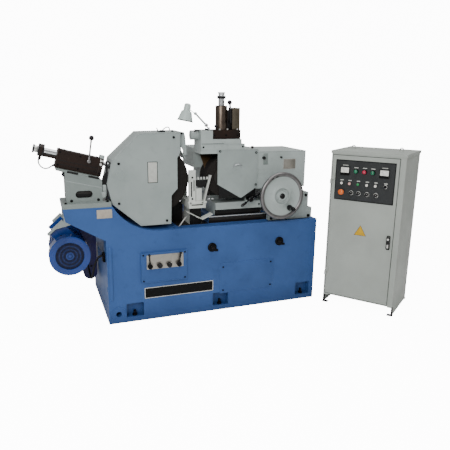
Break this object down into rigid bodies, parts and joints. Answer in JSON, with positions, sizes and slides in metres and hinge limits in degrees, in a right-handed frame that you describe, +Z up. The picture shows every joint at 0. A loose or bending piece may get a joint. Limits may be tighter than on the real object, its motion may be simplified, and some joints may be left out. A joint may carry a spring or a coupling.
{
  "type": "centreless grinding machine",
  "caption": "Centreless grinder: cast bed, guarded grinding wheel, regulating head on a feed slide, two dressers, belt drive, handwheel, lamp and a separate control cabinet.",
  "frame": {"origin": "floor level, at the middle of the bed's footprint", "axes": "+Z up, +X to the right along the bed, -Y towards the operator"},
  "size_m": [2.9798, 1.4838, 1.7214],
  "materials": {
    "bed_paint": "semi-gloss enamel",
    "cover_paint": "semi-gloss enamel",
    "navy_paint": "satin enamel",
    "motor_paint": "gloss enamel",
    "cabinet_paint": "fine-textured powder coat",
    "oiled_iron": "oiled, dark",
    "black_steel": "blackened steel",
    "machined_steel": "ground and turned",
    "abrasive": "bonded abrasive, matt",
    "belt_rubber": "moulded rubber",
    "conduit_rubber": "ribbed conduit",
    "hose_plastic": "flexible hose",
    "black_knob": "moulded phenolic",
    "panel_black": "satin black",
    "stop_plastic": "moulded",
    "white_plastic": "moulded",
    "pink_plastic": "moulded",
    "green_plastic": "moulded"
  },
  "bodies": {
    "frame": {"bed_casting": "bed_paint", "bed_fittings": "black_steel", "valve_panel": "bed_paint", "grinding_head": "cover_paint", "wheel_guard": "cover_paint", "guard_cover": "cover_paint", "cover_screws": "black_steel", "spindle_bearings": "machined_steel", "drive_belts": "belt_rubber", "belt_guard": "navy_paint", "motor_frame": "motor_paint", "motor_fan_cover": "motor_paint", "motor_plate": "machined_steel", "motor_conduit": "conduit_rubber", "dresser_bracket": "cover_paint", "work_rest": "cover_paint", "work_blade": "machined_steel", "infeed_box": "cover_paint", "cabinet_shell": "cabinet_paint"},
    "valve_left": {"valve_lever_left": "black_steel"},
    "valve_right": {"valve_lever_right": "black_steel"},
    "throttle_left": {"throttle_knob_left": "black_knob"},
    "throttle_right": {"throttle_knob_right": "black_knob"},
    "flap": {"splash_flap": "cover_paint"},
    "grinding_rotor": {"grinding_wheel": "abrasive", "grinding_spindle": "machined_steel"},
    "motor_rotor_body": {"motor_rotor": "machined_steel"},
    "dresser": {"dresser_barrel": "oiled_iron", "dresser_hose": "hose_plastic"},
    "dresser_quill_body": {"dresser_quill": "machined_steel"},
    "dresser_knob_body": {"dresser_knob": "black_steel"},
    "dresser_lever_body": {"dresser_lever": "machined_steel"},
    "feed": {"feed_slide": "cover_paint", "regulating_head": "cover_paint", "regulating_cover": "cover_paint", "top_dresser_base": "cover_paint"},
    "screw": {"infeed_screw": "machined_steel"},
    "handwheel_body": {"handwheel": "cover_paint"},
    "grip": {"handwheel_grip": "black_knob"},
    "clamp": {"clamp_lever": "black_steel"},
    "regulating_rotor": {"regulating_wheel": "abrasive", "regulating_spindle": "machined_steel"},
    "top_dresser": {"top_dresser_body": "oiled_iron"},
    "top_quill": {"top_dresser_quill": "machined_steel"},
    "top_lever": {"top_dresser_lever": "machined_steel"},
    "lamp_arm_body": {"lamp_arm": "machined_steel"},
    "lamp_shade_body": {"lamp_shade": "cover_paint"},
    "door": {"cabinet_door": "cabinet_paint", "control_panel": "panel_black"},
    "handle": {"door_handle": "black_knob"},
    "stop": {"emergency_stop": "stop_plastic"},
    "button_1": {"push_button_1": "white_plastic"},
    "button_2": {"push_button_2": "pink_plastic"},
    "button_3": {"push_button_3": "green_plastic"},
    "button_4": {"push_button_4": "white_plastic"},
    "button_5": {"push_button_5": "white_plastic"},
    "switch_1": {"selector_1": "black_knob"},
    "switch_2": {"selector_2": "black_knob"},
    "switch_3": {"selector_3": "black_knob"},
    "switch_4": {"selector_4": "black_knob"}
  },
  "joints": [
    {"name": "valve_left_turn", "type": "hinge", "parent": "frame", "child": "valve_left", "pos_m": [-0.56, -0.476, 0.43775], "axis": [0, 1, 0], "range_deg": [-45, 45]},
    {"name": "valve_right_turn", "type": "hinge", "parent": "frame", "child": "valve_right", "pos_m": [-0.335, -0.476, 0.43775], "axis": [0, 1, 0], "range_deg": [-45, 45]},
    {"name": "throttle_left_turn", "type": "hinge", "parent": "frame", "child": "throttle_left", "pos_m": [-0.485, -0.476, 0.43775], "axis": [0, 1, 0], "range_deg": [-135, 135]},
    {"name": "throttle_right_turn", "type": "hinge", "parent": "frame", "child": "throttle_right", "pos_m": [-0.41, -0.476, 0.43775], "axis": [0, 1, 0], "range_deg": [-135, 135]},
    {"name": "flap_swing", "type": "hinge", "parent": "frame", "child": "flap", "pos_m": [-0.287, -0.2945, 1.42], "axis": [0, -1, 0], "range_deg": [0, 25]},
    {"name": "grinding_spin", "type": "hinge", "parent": "frame", "child": "grinding_rotor", "pos_m": [-0.48, -0.3, 1.078], "axis": [0, 1, 0], "continuous": true},
    {"name": "motor_spin", "type": "hinge", "parent": "frame", "child": "motor_rotor_body", "pos_m": [-1.125, -0.1, 0.537], "axis": [0, 1, 0], "continuous": true},
    {"name": "dresser_traverse", "type": "slide", "parent": "frame", "child": "dresser", "axis": [0, 1, 0], "range_m": [-0.06, 0.06]},
    {"name": "dresser_feed", "type": "slide", "parent": "dresser", "child": "dresser_quill_body", "axis": [0.9681, 0, -0.2504], "range_m": [0, 0.03]},
    {"name": "dresser_knob_turn", "type": "hinge", "parent": "dresser", "child": "dresser_knob_body", "pos_m": [-1.30973, -0.305, 1.32001], "axis": [0.9681, 0, -0.2504], "range_deg": [0, 2699]},
    {"name": "dresser_lever_swing", "type": "hinge", "parent": "dresser", "child": "dresser_lever_body", "pos_m": [-0.95926, -0.37, 1.22938], "axis": [0, 1, 0], "range_deg": [-25, 25]},
    {"name": "infeed", "type": "slide", "parent": "frame", "child": "feed", "axis": [1, 0, 0], "range_m": [-0.04, 0.02]},
    {"name": "screw_turn", "type": "hinge", "parent": "frame", "child": "screw", "pos_m": [0.495, -0.12, 0.835], "axis": [1, 0, 0], "range_deg": [-1210, 610]},
    {"name": "handwheel_turn", "type": "hinge", "parent": "frame", "child": "handwheel_body", "pos_m": [0.495, -0.53, 0.932], "axis": [0, 1, 0], "range_deg": [-1812, 3624]},
    {"name": "grip_spin", "type": "hinge", "parent": "handwheel_body", "child": "grip", "pos_m": [0.56268, -0.57, 0.83534], "axis": [0, 1, 0], "continuous": true},
    {"name": "clamp_turn", "type": "hinge", "parent": "feed", "child": "clamp", "pos_m": [0.28202, -0.39, 0.8934], "axis": [0, 1, 0], "range_deg": [-20, 20]},
    {"name": "regulating_spin", "type": "hinge", "parent": "feed", "child": "regulating_rotor", "pos_m": [0.06, -0.3, 1.078], "axis": [0, 1, 0], "continuous": true},
    {"name": "top_dresser_traverse", "type": "slide", "parent": "feed", "child": "top_dresser", "axis": [0, 1, 0], "range_m": [-0.055, 0.055]},
    {"name": "top_dresser_feed", "type": "slide", "parent": "top_dresser", "child": "top_quill", "axis": [0, 0, 1], "range_m": [-0.03, 0]},
    {"name": "top_lever_swing", "type": "hinge", "parent": "top_dresser", "child": "top_lever", "pos_m": [0.116, -0.355, 1.49916], "axis": [0, 1, 0], "range_deg": [-15, 15]},
    {"name": "lamp_swing", "type": "hinge", "parent": "feed", "child": "lamp_arm_body", "pos_m": [-0.049, -0.328, 1.437], "axis": [0, 0, 1], "range_deg": [-40, 40]},
    {"name": "lamp_tilt", "type": "hinge", "parent": "lamp_arm_body", "child": "lamp_shade_body", "pos_m": [-0.15722, -0.328, 1.56068], "axis": [0, 1, 0], "range_deg": [-20, 35]},
    {"name": "door_swing", "type": "hinge", "parent": "frame", "child": "door", "pos_m": [0.90599, -0.58543, 0.67], "axis": [0, 0, -1], "range_deg": [0, 95]},
    {"name": "handle_turn", "type": "hinge", "parent": "door", "child": "handle", "pos_m": [1.20637, -0.97196, 0.635], "axis": [0.7934, 0.6088, 0], "range_deg": [0, 90]},
    {"name": "stop_press", "type": "slide", "parent": "door", "child": "stop", "axis": [0.7934, 0.6088, 0], "range_m": [0, 0.006], "stiffness_N_per_m": 600},
    {"name": "button_1_press", "type": "slide", "parent": "door", "child": "button_1", "axis": [0.7934, 0.6088, 0], "range_m": [0, 0.004], "stiffness_N_per_m": 300},
    {"name": "button_2_press", "type": "slide", "parent": "door", "child": "button_2", "axis": [0.7934, 0.6088, 0], "range_m": [0, 0.004], "stiffness_N_per_m": 300},
    {"name": "button_3_press", "type": "slide", "parent": "door", "child": "button_3", "axis": [0.7934, 0.6088, 0], "range_m": [0, 0.004], "stiffness_N_per_m": 300},
    {"name": "button_4_press", "type": "slide", "parent": "door", "child": "button_4", "axis": [0.7934, 0.6088, 0], "range_m": [0, 0.004], "stiffness_N_per_m": 300},
    {"name": "button_5_press", "type": "slide", "parent": "door", "child": "button_5", "axis": [0.7934, 0.6088, 0], "range_m": [0, 0.004], "stiffness_N_per_m": 300},
    {"name": "selector_1_turn", "type": "hinge", "parent": "door", "child": "switch_1", "pos_m": [1.00824, -0.71704, 0.964], "axis": [0.7934, 0.6088, 0], "range_deg": [-45, 45]},
    {"name": "selector_2_turn", "type": "hinge", "parent": "door", "child": "switch_2", "pos_m": [1.04471, -0.76457, 0.964], "axis": [0.7934, 0.6088, 0], "range_deg": [-45, 45]},
    {"name": "selector_3_turn", "type": "hinge", "parent": "door", "child": "switch_3", "pos_m": [1.08516, -0.81729, 0.964], "axis": [0.7934, 0.6088, 0], "range_deg": [-45, 45]},
    {"name": "selector_4_turn", "type": "hinge", "parent": "door", "child": "switch_4", "pos_m": [1.1279, -0.87298, 0.964], "axis": [0.7934, 0.6088, 0], "range_deg": [-45, 45]}
  ],
  "couplings": [
    {"joint": "motor_spin", "follows": "grinding_spin", "ratio": 1.1111},
    {"joint": "dresser_feed", "follows": "dresser_knob_turn", "m_per_rad": 0.00063662},
    {"joint": "infeed", "follows": "handwheel_turn", "m_per_rad": -0.00063223},
    {"joint": "screw_turn", "follows": "handwheel_turn", "ratio": -0.33103}
  ]
}
